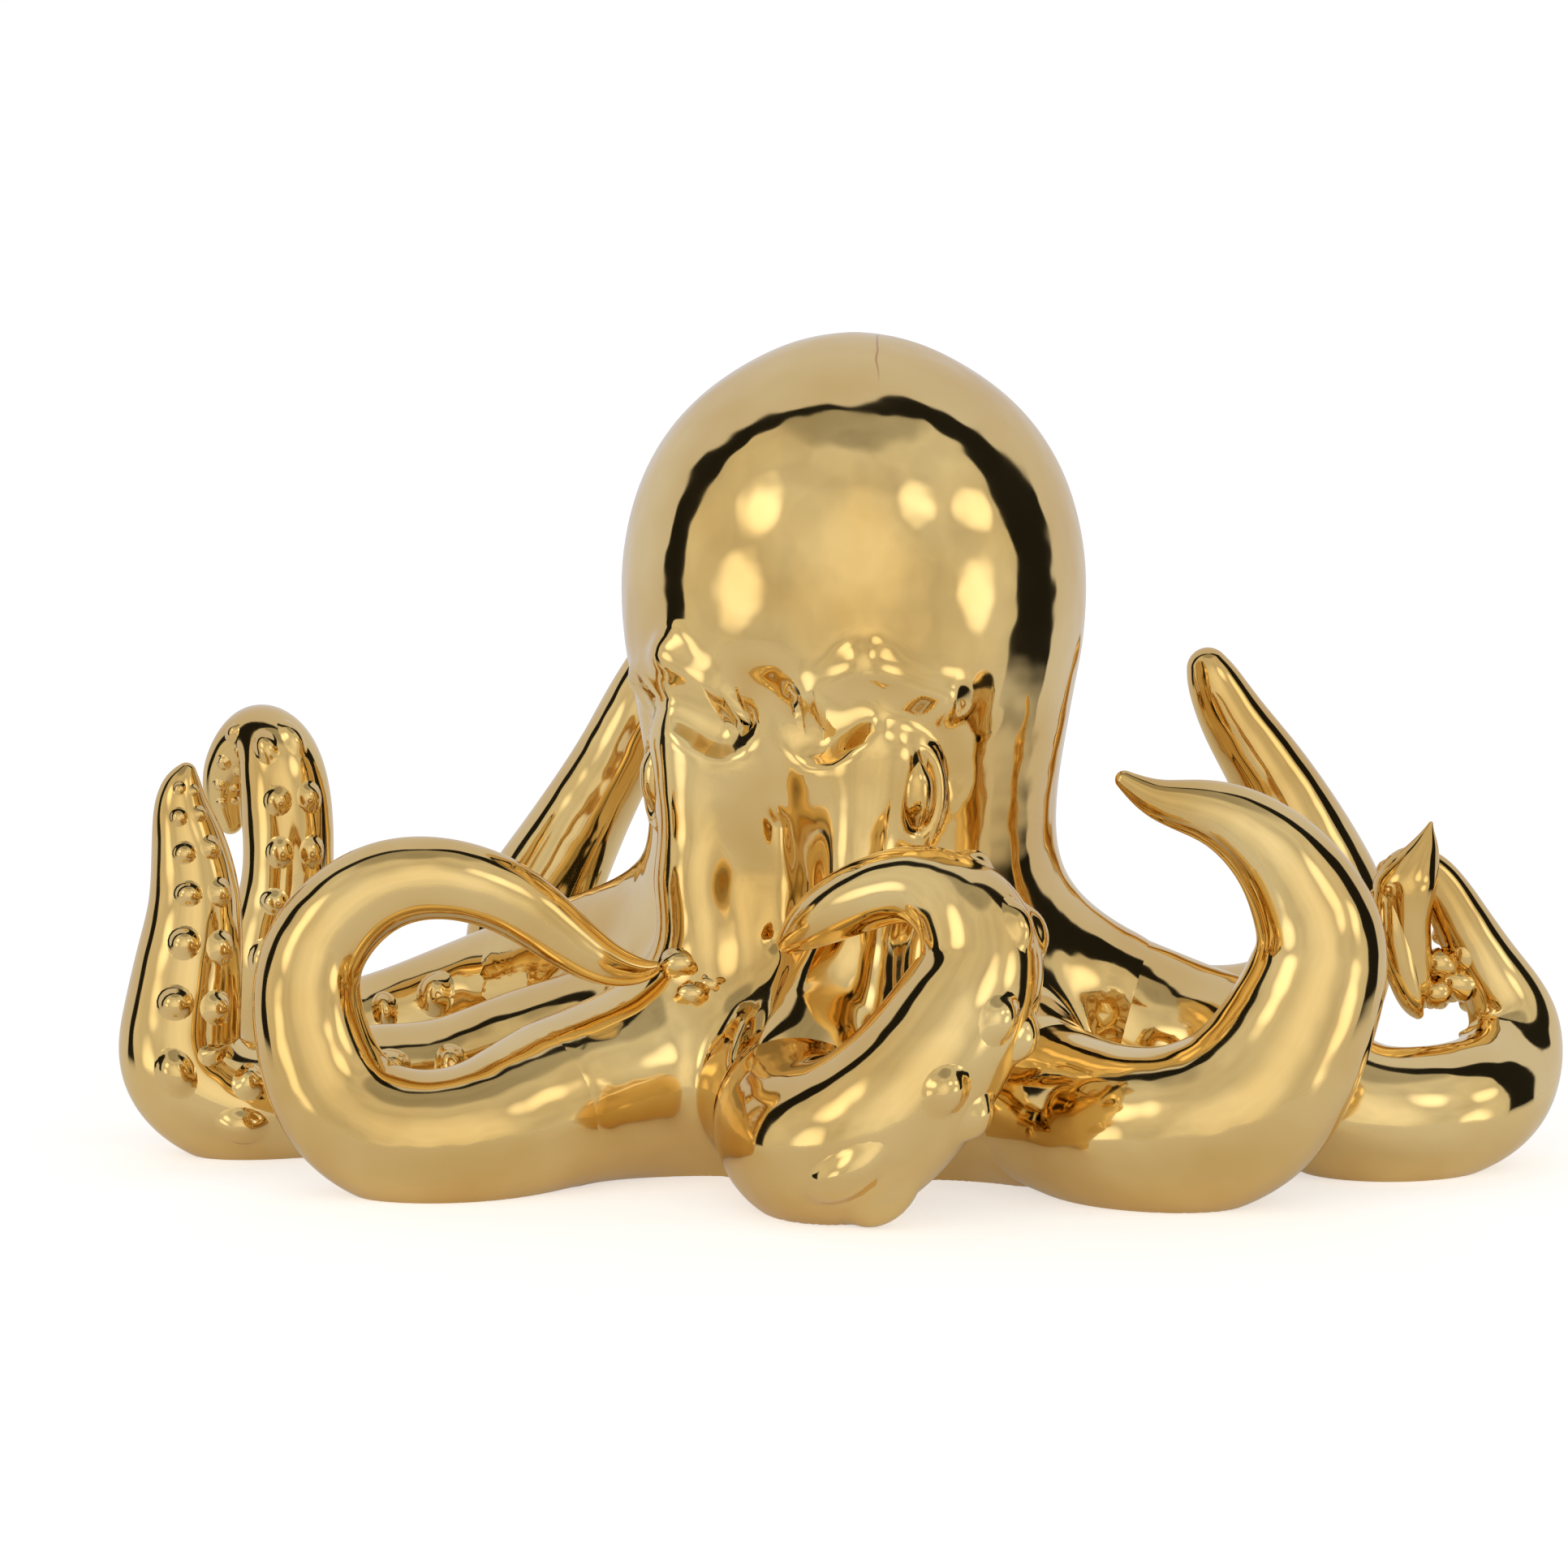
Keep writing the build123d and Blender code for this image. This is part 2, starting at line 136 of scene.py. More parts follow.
TABLE_RADIUS = 0.20
TABLE_EDGE = 2.2
CAMERA_PLACE = (-0.0116, -1.3811, 0.2573)
CAMERA_TILT = 82.5
CAMERA_LENS = 155.03

# Mould seam over the top of the head
SEAM_ACROSS = 0.0078
SEAM_WAVER = 0.0080
SEAM_WIDTH = 0.00032
SEAM_LOWEST = 0.160
SEAM_FADE = 0.004
SEAM_STAIN = (0.60, 0.36, 0.16, 1.0)

# Grids
BODY_ROWS = 240
BODY_COLUMNS = 400
BODY_RAY_LENGTH = 0.19
BODY_STEPS = 34
BODY_ROOT_LOW = 0.021
BODY_ROOT_SWING = 0.084
BODY_ROOT_TURN = 1.75
ARM_STEP = 0.0006
ARM_COLUMNS = 96
DOME_ROWS = 18
SEAM_OVERLAP = 0.004
OVERLAP_SHARES = (1.0, 0.66, 0.33)

# Suckers, sized from the arm that carries them
SUCKER_SIZE = 0.255
SUCKER_SKIRT = 1.35
SUCKER_HEIGHT = 0.18
SUCKER_ROOT = 0.004
SUCKER_FULLNESS = 2.6
SUCKER_ROW_ANGLE = 22.0
SUCKER_STEP = 1.08
SUCKER_LEAST_ARM = 0.0036
SUCKER_TRIES = 600
SUCKER_ROWS = 9
SUCKER_COLUMNS = 20

ARMS = {
    "front_left": {
        "seam": 4,
        "rows": [
            (-.02, -.02, .20, 1.0), (-.16, -.09, .20, 1.0), (-.29, -.18, .19, .98),
            (-.42, -.28, .18, .92), (-.56, -.40, .165, .86), (-.71, -.50, .0, .74),
            (-.87, -.52, .0, .70), (-1.00, -.49, .19, .64), (-1.06, -.46, .345, .56),
            (-1.045, -.44, .485, .51), (-.94, -.43, .595, .46), (-.80, -.43, .625, .41),
            (-.665, -.42, .585, .37), (-.56, -.41, .51, .31), (-.475, -.39, .45, .235),
            (-.405, -.37, .43, .14), (-.37, -.36, .435, .07),
        ],
        "facing": ((0.2, 1.0, 0.1), (0.0, 1.0, 0.1)),
    },
    "front": {
        "seam": 3,
        "rows": [
            (.04, .0, .20, 1.0), (.0, -.16, .20, .98), (-.04, -.32, .19, .95),
            (-.07, -.47, .17, .91), (-.075, -.61, .0, .87), (-.035, -.735, .0, .85),
            (.055, -.805, .195, .81), (.155, -.80, .295, .75), (.235, -.77, .41, .69),
            (.27, -.735, .50, .62), (.25, -.70, .58, .55), (.20, -.66, .625, .46),
            (.125, -.62, .64, .38), (.02, -.57, .60, .34), (-.06, -.52, .545, .25),
            (-.11, -.48, .50, .11),
        ],
        "facing": ((0.2, -0.9, -0.3), (0.35, -0.85, -0.2), (0.9, -0.35, 0.1), (0.5, 1.0, 0.1)),
    },
    "front_right": {
        "seam": 3,
        "rows": [
            (.06, -.02, .20, 1.0), (.17, -.10, .19, .96), (.28, -.22, .17, .88),
            (.40, -.39, .165, .84), (.53, -.55, .0, .84), (.68, -.62, .0, .87),
            (.81, -.62, .215, .86), (.90, -.60, .35, .76), (.945, -.58, .49, .67),
            (.92, -.57, .60, .58), (.85, -.56, .70, .46), (.745, -.55, .77, .335),
            (.635, -.54, .797, .215), (.555, -.53, .84, .09),
        ],
        "facing": ((-0.2, 1.0, 0.0), (0.0, 1.0, 0.1)),
    },
    "right": {
        "seam": 3,
        "rows": [
            (.06, .0, .33, 1.15), (.22, .01, .315, 1.15), (.38, .02, .29, 1.12),
            (.53, .02, .25, 1.04), (.69, -.02, .205, .97), (.83, -.12, .185, .88),
            (.935, -.23, .165, .80), (1.05, -.29, .0, .745), (1.17, -.29, .0, .71),
            (1.285, -.23, .135, .66), (1.36, -.125, .18, .58), (1.385, -.05, .27, .47),
            (1.34, -.03, .37, .37), (1.28, -.035, .475, .30), (1.218, -.05, .572, .235),
            (1.155, -.07, .588, .215), (1.132, -.09, .51, .215), (1.145, -.095, .42, .195),
            (1.17, -.095, .33, .14), (1.19, -.09, .29, .05),
        ],
        "facing": ((0.0, 1.0, 0.3), (-1.0, 0.2, -0.3)),
    },
    "back_right": {
        "seam": 3,
        "rows": [
            (.06, .04, .20, .95), (.18, .17, .20, .93), (.31, .31, .18, .88),
            (.45, .45, .165, .82), (.62, .57, .155, .78), (.80, .66, .0, .75),
            (.965, .70, .145, .74), (1.05, .70, .235, .72), (1.07, .70, .36, .67),
            (1.035, .69, .485, .59), (.98, .68, .605, .50), (.92, .67, .71, .43),
            (.855, .66, .81, .365), (.81, .65, .895, .29), (.79, .65, .94, .21),
        ],
        "facing": ((0.6, 1.0, 0.0), (0.3, 1.0, 0.2)),
    },
    "back_left": {
        "seam": 3,
        "rows": [
            (.0, .04, .20, .95), (-.06, .20, .20, .90), (-.13, .38, .18, .85),
            (-.21, .56, .16, .80), (-.32, .74, .0, .77), (-.46, .86, .0, .75),
            (-.60, .86, .155, .73), (-.665, .79, .26, .70), (-.655, .74, .38, .65),
            (-.60, .72, .495, .57), (-.535, .70, .615, .49), (-.47, .69, .735, .44),
            (-.41, .67, .86, .40), (-.355, .66, .975, .32), (-.33, .65, 1.06, .22),
        ],
        "facing": ((-0.5, 1.0, 0.0), (-0.2, 1.0, 0.1)),
    },
    "left_back": {
        "seam": 4,
        "rows": [
            (-.02, .02, .38, 1.15), (-.17, .12, .38, 1.15), (-.33, .23, .34, 1.08),
            (-.48, .34, .29, 1.0), (-.63, .44, .24, .92), (-.79, .49, .19, .82),
            (-.95, .50, .145, .73), (-1.09, .46, .145, .66), (-1.175, .41, .24, .58),
            (-1.19, .38, .35, .54), (-1.17, .38, .455, .50), (-1.16, .38, .56, .48),
            (-1.165, .39, .67, .48), (-1.185, .41, .765, .43), (-1.23, .45, .80, .34),
            (-1.28, .48, .755, .28), (-1.305, .50, .68, .22), (-1.29, .50, .605, .13),
        ],
        "facing": ((0.2, -1.0, 0.3), (0.3, -1.0, 0.2)),
    },
    "left": {
        "seam": 4,
        "rows": [
            (-.03, .0, .30, 1.05), (-.19, .02, .28, 1.0), (-.34, .03, .24, .92),
            (-.49, .04, .20, .84), (-.64, .04, .165, .79), (-.80, .03, .0, .73),
            (-.95, .0, .0, .70), (-1.10, -.04, .0, .67), (-1.24, -.07, .0, .65),
            (-1.34, -.07, .175, .645), (-1.35, -.05, .28, .61), (-1.335, -.03, .40, .55),
            (-1.325, -.01, .51, .48), (-1.335, .0, .62, .40), (-1.35, .0, .71, .29),
            (-1.345, .0, .765, .19), (-1.335, .0, .795, .08),
        ],
        "facing": ((0.3, -1.0, 0.2), (0.35, -1.0, 0.1)),
    },
}


def unit(vectors):
    """The vectors made one long."""
    return vectors / np.linalg.norm(vectors, axis=-1, keepdims=True)


class SmoothLine:
    """Natural cubic spline through rows of numbers, one whole step from row to row."""

    def __init__(self, rows):
        self.rows = np.array(rows, dtype=float)
        count = len(self.rows)
        matrix = np.eye(count)
        right_side = np.zeros(self.rows.shape)
        for row in range(1, count - 1):
            matrix[row, row - 1:row + 2] = (1, 4, 1)
            right_side[row] = 6 * (
                self.rows[row - 1] - 2 * self.rows[row] + self.rows[row + 1]
            )
        self.bend = np.linalg.solve(matrix, right_side)
        self.last = count - 1

    def at(self, place):
        """Values at the places and their first and second slopes."""
        place = np.asarray(place, dtype=float)
        low = np.clip(place.astype(int), 0, self.last - 1)
        ahead = (place - low)[..., None]
        behind = 1 - ahead
        start, end = self.rows[low], self.rows[low + 1]
        bend_start, bend_end = self.bend[low], self.bend[low + 1]
        value = (
            start * behind + end * ahead
            + (behind**3 - behind) * bend_start / 6 + (ahead**3 - ahead) * bend_end / 6
        )
        slope = (
            end - start
            - (3 * behind**2 - 1) * bend_start / 6 + (3 * ahead**2 - 1) * bend_end / 6
        )
        return value, slope, behind * bend_start + ahead * bend_end


def arm_line(arm):
    """Spline of an arm's centre points and radii; low rows rest on the floor."""
    shares = np.array(arm["rows"])
    radius = shares[:, 3] * THICK
    across = shares[:, 0] * REACH + SHIFT_ACROSS
    back = shares[:, 1] * REACH + SHIFT_BACK
    height = np.maximum(shares[:, 2] * RISE, radius - FOOT_CUT)
    return SmoothLine(np.column_stack((across, back, height, radius)))


LINES = {name: arm_line(arm) for name, arm in ARMS.items()}


def flow(first, second, width):
    """The smaller of two distances, rounded over the width where they are alike."""
    near = np.clip(1 - np.abs(first - second) / width, 0, None)
    return np.minimum(first, second) - near**3 * width / 6


def root_distance(points, name):
    """Distance to an arm's skin from its foot point on the centre line, up to the seam."""
    line, last = LINES[name], ARMS[name]["seam"]
    tries = np.linspace(0, last, 3 * ARMS[name]["seam"] + 1)
    centres = line.at(tries)[0]
    apart = np.stack([((points - centre[:3]) ** 2).sum(1) for centre in centres])
    place = tries[apart.argmin(0)]
    for _ in range(3):
        value, slope, bend = line.at(place)
        gap = value[:, :3] - points
        push = (gap * slope[:, :3]).sum(1)
        stiff = (slope[:, :3] ** 2).sum(1) + (gap * bend[:, :3]).sum(1)
        place = np.clip(place - push / np.maximum(stiff, 1e-7), 0, last)
    value = line.at(place)[0]
    return np.linalg.norm(value[:, :3] - points, axis=1) - value[:, 3]


def head_line():
    """Spline of the head's distance from its heart, evenly spaced in angle from the top."""
    shares = np.array(HEAD_SHARES) * (HEAD_RADIUS, HEAD_HEIGHT)
    rise = shares[:, 1] - HEAD_HEART
    angle = np.arctan2(shares[:, 0], rise)
    size = np.hypot(shares[:, 0], rise)
    even = np.linspace(0, angle.max(), len(angle))
    return SmoothLine(np.interp(even, angle[::-1], size[::-1])[:, None]), angle.max()


HEAD_LINE, HEAD_LAST_ANGLE = head_line()


def head_distance(points):
    """Distance to the head's skin, measured from its heart and eased where it slopes."""
    place = points - HEAD_PLACE - (0.0, 0.0, HEAD_HEART)
    around = np.hypot(place[:, 0], place[:, 1])
    angle = np.arctan2(around, place[:, 2])
    row = np.clip(angle / HEAD_LAST_ANGLE, 0, 1) * HEAD_LINE.last
    size, slope, _ = HEAD_LINE.at(row)
    lean = slope[:, 0] * HEAD_LINE.last / HEAD_LAST_ANGLE / size[:, 0]
    return (np.hypot(around, place[:, 2]) - size[:, 0]) / np.sqrt(1 + lean**2)


def on_face(angle, depth, height):
    """Point on the face: degrees to the left of its middle, depth from the axis, height."""
    turn = radians(angle + FACE_TURN)
    return HEAD_PLACE + (-sin(turn) * depth, -cos(turn) * depth, height)


def drop_distance(points, start, end, start_radius, end_radius):
    """Distance to a straight drop of clay whose radius runs from one end to the other."""
    along = end - start
    share = np.clip(((points - start) @ along) / (along @ along), 0, 1)
    radius = start_radius + (end_radius - start_radius) * share
    return np.linalg.norm(points - start - share[:, None] * along, axis=1) - radius


def carve(value, cut, width):
    """The distance with a form taken away, its edge rounded over the width."""
    return -flow(-value, cut, width)


def lid_distance(points, side):
    """Distance to the eyelid: an upright oval ring of clay that lies on the head."""
    turn = radians(side * EYE_SPREAD + FACE_TURN)
    out = np.array((-sin(turn), -cos(turn), 0.0))
    over = np.array((-cos(turn), sin(turn), 0.0)) * side
    place = points - on_face(side * EYE_SPREAD, EYE_DEPTH, EYE_HEIGHT)
    across, up = place @ over / LID_HALF_WIDTH, place[:, 2] / LID_HALF_HEIGHT
    size = np.hypot(across, up)
    steep = np.hypot(across / LID_HALF_WIDTH, up / LID_HALF_HEIGHT) / np.maximum(size, 1e-6)
    ring = (size - 1) / np.maximum(steep, 1.0)
    return np.hypot(ring, place @ out) - LID_RADIUS


def run_of_drops(places, side=1):
    """Straight drops of clay from place to place on the face, mirrored for the other side."""
    points = [on_face(side * angle, depth, height) for angle, depth, height, _ in places]
    return [
        (points[row], points[row + 1], places[row][3], places[row + 1][3])
        for row in range(len(places) - 1)
    ]


def add_form(points, value, places, side, width):
    """The distance with a form of the face added to it."""
    for run in run_of_drops(places, side):
        value = flow(value, drop_distance(points, *run), width)
    return value


def cut_form(points, value, places, side, width):
    """The distance with a form of the face cut out of it."""
    for run in run_of_drops(places, side):
        value = carve(value, drop_distance(points, *run), width)
    return value


def face_distance(points, value):
    """The head's distance with its trough, brows, cheek pillars and eyelids."""
    for side in (1, -1):
        value = add_form(points, value, PILLAR, side, PILLAR_FLOW)
        value = cut_form(points, value, UNDER_BROW, side, CUT_FLOW)
        value = cut_form(points, value, BEHIND_EYE, side, CUT_FLOW)
        value = add_form(points, value, BROW, side, BROW_FLOW)
    value = cut_form(points, value, TROUGH, 1, TROUGH_FLOW)
    for side in (1, -1):
        value = flow(value, lid_distance(points, side), LID_FLOW)
    return value


def skin_distance(points):
    """Distance to the whole flowing skin: head, face, arm roots and the crease below the face."""
    value = face_distance(points, head_distance(points))
    roots = None
    for name in ARMS:
        root = root_distance(points, name)
        roots = root if roots is None else flow(roots, root, ROOT_FLOW)
    value = flow(value, roots, HUB_FLOW)
    return cut_form(points, value, CREASE, 1, CUT_FLOW)


def skin_normals(points, reach=0.00015):
    """Directions in which the skin's distance grows, from four probes round each point."""
    total = np.zeros(points.shape)
    for probe in ((1, 1, 1), (1, -1, -1), (-1, 1, -1), (-1, -1, 1)):
        probe = np.array(probe, dtype=float)
        total += skin_distance(points + probe * reach)[:, None] * probe
    return unit(total)


def grid_piece(name, points, normals, flat, material):
    """Mesh from rows of points that close round; its first and last rows are poles."""
    rows, columns = points.shape[:2]
    places = np.vstack((points[:1, 0], points[1:-1].reshape(-1, 3), points[-1:, 0]))
    ways = np.vstack((normals[:1, 0], normals[1:-1].reshape(-1, 3), normals[-1:, 0]))
    column = np.arange(columns)
    beside = (column + 1) % columns
    start = 1 + np.arange(rows - 3)[:, None] * columns
    quads = np.stack(
        (start + column, start + columns + column, start + columns + beside, start + beside), -1
    ).reshape(-1, 4)
    last = len(places) - 1
    last_row = last - columns
    first_fan = np.stack((np.zeros(columns, int), 1 + column, 1 + beside), -1)
    last_fan = np.stack((last_row + column, np.full(columns, last), last_row + beside), -1)
    loops = np.concatenate((quads.ravel(), first_fan.ravel(), last_fan.ravel()))
    sizes = np.concatenate((np.full(len(quads), 4), np.full(2 * columns, 3)))
    starts = np.concatenate(((0,), np.cumsum(sizes)[:-1]))
    mesh = bpy.data.meshes.new(name)
    mesh.vertices.add(len(places))
    mesh.vertices.foreach_set("co", places.astype(np.float32).ravel())
    mesh.loops.add(len(loops))
    mesh.loops.foreach_set("vertex_index", loops.astype(np.int32))
    mesh.polygons.add(len(sizes))
    mesh.polygons.foreach_set("loop_start", starts.astype(np.int32))
    mesh.update(calc_edges=True)
    mesh.validate()
    mesh.shade_smooth()
    corner_ways = ways[loops]
    if flat:
        level = places[loops, 2] < 1e-7
        face = np.repeat(np.arange(len(sizes)), sizes)
        down = np.bincount(face, weights=level) == sizes
        corner_ways = np.where(down[face][:, None], (0.0, 0.0, -1.0), corner_ways)
    mesh.normals_split_custom_set(corner_ways.astype(np.float32))
    piece = bpy.data.objects.new(name, mesh)
    bpy.context.collection.objects.link(piece)
    mesh.materials.append(material)
    return piece


def gold_plate(name, seam):
    """Gold mirror over glazed clay, softly wavy and uneven in tint; a mould seam if asked."""
    material = bpy.data.materials.new(name)
    material.use_nodes = True
    nodes, links = material.node_tree.nodes, material.node_tree.links
    shader = nodes["Principled BSDF"]
    shader.inputs["Metallic"].default_value = 1.0
    place = nodes.new("ShaderNodeTexCoord")
    tint = nodes.new("ShaderNodeTexNoise")
    tint.inputs["Scale"].default_value = 22.0
    tint.inputs["Detail"].default_value = 3.0
    links.new(place.outputs["Object"], tint.inputs["Vector"])
    ramp = nodes.new("ShaderNodeValToRGB")
    ramp.color_ramp.elements[0].position = 0.35
    ramp.color_ramp.elements[0].color = (0.75, 0.50, 0.18, 1.0)
    ramp.color_ramp.elements[1].position = 0.65
    ramp.color_ramp.elements[1].color = (0.88, 0.67, 0.32, 1.0)
    links.new(tint.outputs["Fac"], ramp.inputs["Fac"])
    colour = ramp.outputs["Color"]
    if seam:
        apart = nodes.new("ShaderNodeSeparateXYZ")
        links.new(place.outputs["Object"], apart.inputs["Vector"])
        waver = nodes.new("ShaderNodeMath")
        waver.operation = "MULTIPLY_ADD"
        waver.inputs[1].default_value = SEAM_WAVER
        waver.inputs[2].default_value = -SEAM_ACROSS - SEAM_WAVER / 2
        links.new(tint.outputs["Fac"], waver.inputs[0])
        off = nodes.new("ShaderNodeMath")
        links.new(apart.outputs["X"], off.inputs[0])
        links.new(waver.outputs[0], off.inputs[1])
        wide = nodes.new("ShaderNodeMath")
        wide.operation = "ABSOLUTE"
        links.new(off.outputs[0], wide.inputs[0])
        line = nodes.new("ShaderNodeMapRange")
        line.inputs["From Min"].default_value = SEAM_WIDTH
        line.inputs["From Max"].default_value = SEAM_WIDTH / 3
        links.new(wide.outputs[0], line.inputs["Value"])
        high = nodes.new("ShaderNodeMapRange")
        high.inputs["From Min"].default_value = SEAM_LOWEST
        high.inputs["From Max"].default_value = SEAM_LOWEST + SEAM_FADE
        links.new(apart.outputs["Z"], high.inputs["Value"])
        amount = nodes.new("ShaderNodeMath")
        amount.operation = "MULTIPLY"
        links.new(line.outputs["Result"], amount.inputs[0])
        links.new(high.outputs["Result"], amount.inputs[1])
        stain = nodes.new("ShaderNodeMixRGB")
        stain.inputs["Color2"].default_value = SEAM_STAIN
        links.new(amount.outputs[0], stain.inputs["Fac"])
        links.new(colour, stain.inputs["Color1"])
        colour = stain.outputs["Color"]
    links.new(colour, shader.inputs["Base Color"])
    haze = nodes.new("ShaderNodeTexNoise")
    haze.inputs["Scale"].default_value = 60.0
    haze.inputs["Detail"].default_value = 5.0
    links.new(place.outputs["Object"], haze.inputs["Vector"])
    rough = nodes.new("ShaderNodeMapRange")
    rough.inputs["From Min"].default_value = 0.35
    rough.inputs["From Max"].default_value = 0.70
    rough.inputs["To Min"].default_value = 0.04
    rough.inputs["To Max"].default_value = 0.10
    links.new(haze.outputs["Fac"], rough.inputs["Value"])
    links.new(rough.outputs["Result"], shader.inputs["Roughness"])
    wave = nodes.new("ShaderNodeTexNoise")
    wave.inputs["Scale"].default_value = 48.0
    wave.inputs["Detail"].default_value = 2.0
    links.new(place.outputs["Object"], wave.inputs["Vector"])
    swell = nodes.new("ShaderNodeBump")
    swell.inputs["Strength"].default_value = 0.8
    swell.inputs["Distance"].default_value = 0.0012
    links.new(wave.outputs["Fac"], swell.inputs["Height"])
    links.new(swell.outputs["Normal"], shader.inputs["Normal"])
    return material


GOLD = gold_plate("gold_plate", False)
HEAD_GOLD = gold_plate("gold_plate_head", True)


def crowded(start, end, count, middle, spread, extra):
    """Numbers from start to end that crowd together round the middle."""
    even = np.linspace(start, end, 2000)
    density = 1 + extra * np.exp(-((even - middle) / spread) ** 2)
    amount = np.concatenate(((0,), np.cumsum((density[1:] + density[:-1]) / 2)))
    return np.interp(np.linspace(0, amount[-1], count), amount, even)


def body_skin():
    """Rays fan out from the head's axis; each ends where it meets the flowing skin.

    The rays' root slides down the axis as they turn from straight up to straight down.
    Each ray is walked inwards from outside by the skin's distance until it lands, and
    it stops on the floor where it would go below.
    """
    turn = crowded(0, pi, BODY_ROWS, radians(102), radians(16), 1.3)
    drop = np.clip(turn / BODY_ROOT_TURN, 0, 1)
    root = BODY_ROOT_LOW + BODY_ROOT_SWING * (0.5 + 0.5 * np.cos(drop * pi))
    face_way = 1.5 * pi - radians(FACE_TURN)
    around = crowded(face_way - pi, face_way + pi, BODY_COLUMNS + 1, face_way, radians(50), 1.2)[:-1]
    ways = np.stack((
        np.sin(turn)[:, None] * np.cos(around),
        np.sin(turn)[:, None] * np.sin(around),
        np.repeat(np.cos(turn)[:, None], BODY_COLUMNS, 1),
    ), -1).reshape(-1, 3)
    starts = HEAD_PLACE + np.stack((0 * root, 0 * root, root), -1)
    starts = np.repeat(starts, BODY_COLUMNS, 0)
    length = np.full(len(ways), BODY_RAY_LENGTH)
    falling = ways[:, 2] < -1e-6
    to_floor = np.full(len(ways), BODY_RAY_LENGTH)
    to_floor[falling] = -starts[falling, 2] / ways[falling, 2]
    length = np.minimum(length, to_floor)
    moving = np.arange(len(ways))
    for _ in range(BODY_STEPS):
        gap = skin_distance(starts[moving] + ways[moving] * length[moving, None])
        length[moving] -= np.maximum(gap, -0.001) * 0.95
        length[moving] = np.minimum(length[moving], to_floor[moving])
        moving = moving[(gap > 2e-7) | (gap < -2e-7) & (length[moving] < to_floor[moving])]
        if not len(moving):
            break
    points = starts + ways * length[:, None]
    normals = skin_normals(points)
    return points.reshape(BODY_ROWS, -1, 3), normals.reshape(BODY_ROWS, -1, 3)


points, normals = body_skin()
body = grid_piece("body_skin", points, normals, True, HEAD_GOLD)
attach(body, "root")
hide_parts("body_casting")


def steady_frames(ways):
    """Side and cross directions that turn with the line and never roll about it."""
    side = np.cross(ways[0], (0.1, 0.2, 1.0))
    sides = []
    for way in ways:
        side = side - way * (side @ way)
        side = side / np.linalg.norm(side)
        sides.append(side)
    sides = np.array(sides)
    return sides, np.cross(ways, sides)


def arm_skin(name):
    """Circles carried along the arm's spline, cut flat where they dip below the floor.

    A point is centre + radius * (cos(a) * side + sin(a) * cross); past the last row the
    circles shrink as a dome.  In each circle the two points nearest to the floor line
    slide onto it, so that the foot has a crisp edge, and those below rise to the floor.
    """
    line = LINES[name]
    fine = np.linspace(ARMS[name]["seam"], line.last, 4000)
    value = line.at(fine)[0]
    run = np.concatenate(((0,), np.cumsum(np.linalg.norm(np.diff(value[:, :3], axis=0), axis=1))))
    steps = int(run[-1] / ARM_STEP)
    place = np.interp(np.linspace(0, run[-1], steps), run, fine)
    per_row = run[-1] / (line.last - ARMS[name]["seam"])
    before = ARMS[name]["seam"] - np.array(OVERLAP_SHARES) * SEAM_OVERLAP / per_row
    place = np.concatenate((before, place))
    value, slope, _ = line.at(place)
    way = unit(slope[:, :3])
    radius = value[:, 3]
    taper = slope[:, 3] / np.linalg.norm(slope[:, :3], axis=1)
    tip_lean = np.arctan(-taper[-1])
    tip_radius = radius[-1] / cos(tip_lean)
    dome = np.linspace(tip_lean, pi / 2, DOME_ROWS)[1:]
    past_end = (np.sin(dome) - sin(tip_lean)) * tip_radius
    centre = np.vstack((value[:1, :3], value[:, :3], value[-1, :3] + past_end[:, None] * way[-1]))
    way = np.vstack((way[:1], way, np.repeat(way[-1:], len(dome), 0)))
    sides, crosses = steady_frames(way)
    radius_all = np.concatenate(((0.0,), radius, np.cos(dome) * tip_radius))
    lean = np.concatenate(((0.0,), -taper, np.tan(np.clip(dome, 0, 1.5))))
    angle = np.linspace(0, 2 * pi, ARM_COLUMNS, endpoint=False)
    angle = np.repeat(angle[None], len(centre), 0)
    up, over = sides[:, 2], crosses[:, 2]
    tilt = np.maximum(np.hypot(up, over) * radius_all, 1e-9)
    level = -centre[:, 2] / tilt
    touches = np.abs(level) < 1
    phase = np.arctan2(over, up)
    spread = np.arccos(np.clip(level, -1, 1))
    for side in (1, -1):
        edge = phase + side * spread
        nearest = np.rint(edge / (2 * pi) * ARM_COLUMNS).astype(int) % ARM_COLUMNS
        rows = np.nonzero(touches)[0]
        angle[rows, nearest[rows]] = edge[rows]
    out = np.cos(angle)[..., None] * sides[:, None] + np.sin(angle)[..., None] * crosses[:, None]
    points = centre[:, None] + radius_all[:, None, None] * out
    points[..., 2] = np.where(points[..., 2] < 1e-8, 0.0, points[..., 2])
    normals = unit(out + lean[:, None, None] * way[:, None])
    normals[0], normals[-1] = -way[0], way[-1]
    return points, normals


for name in ARMS:
    points, normals = arm_skin(name)
    arm = grid_piece("arm_" + name + "_skin", points[:, ::-1], normals[:, ::-1], True, GOLD)
    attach(arm, "root")
    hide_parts("arm_" + name)


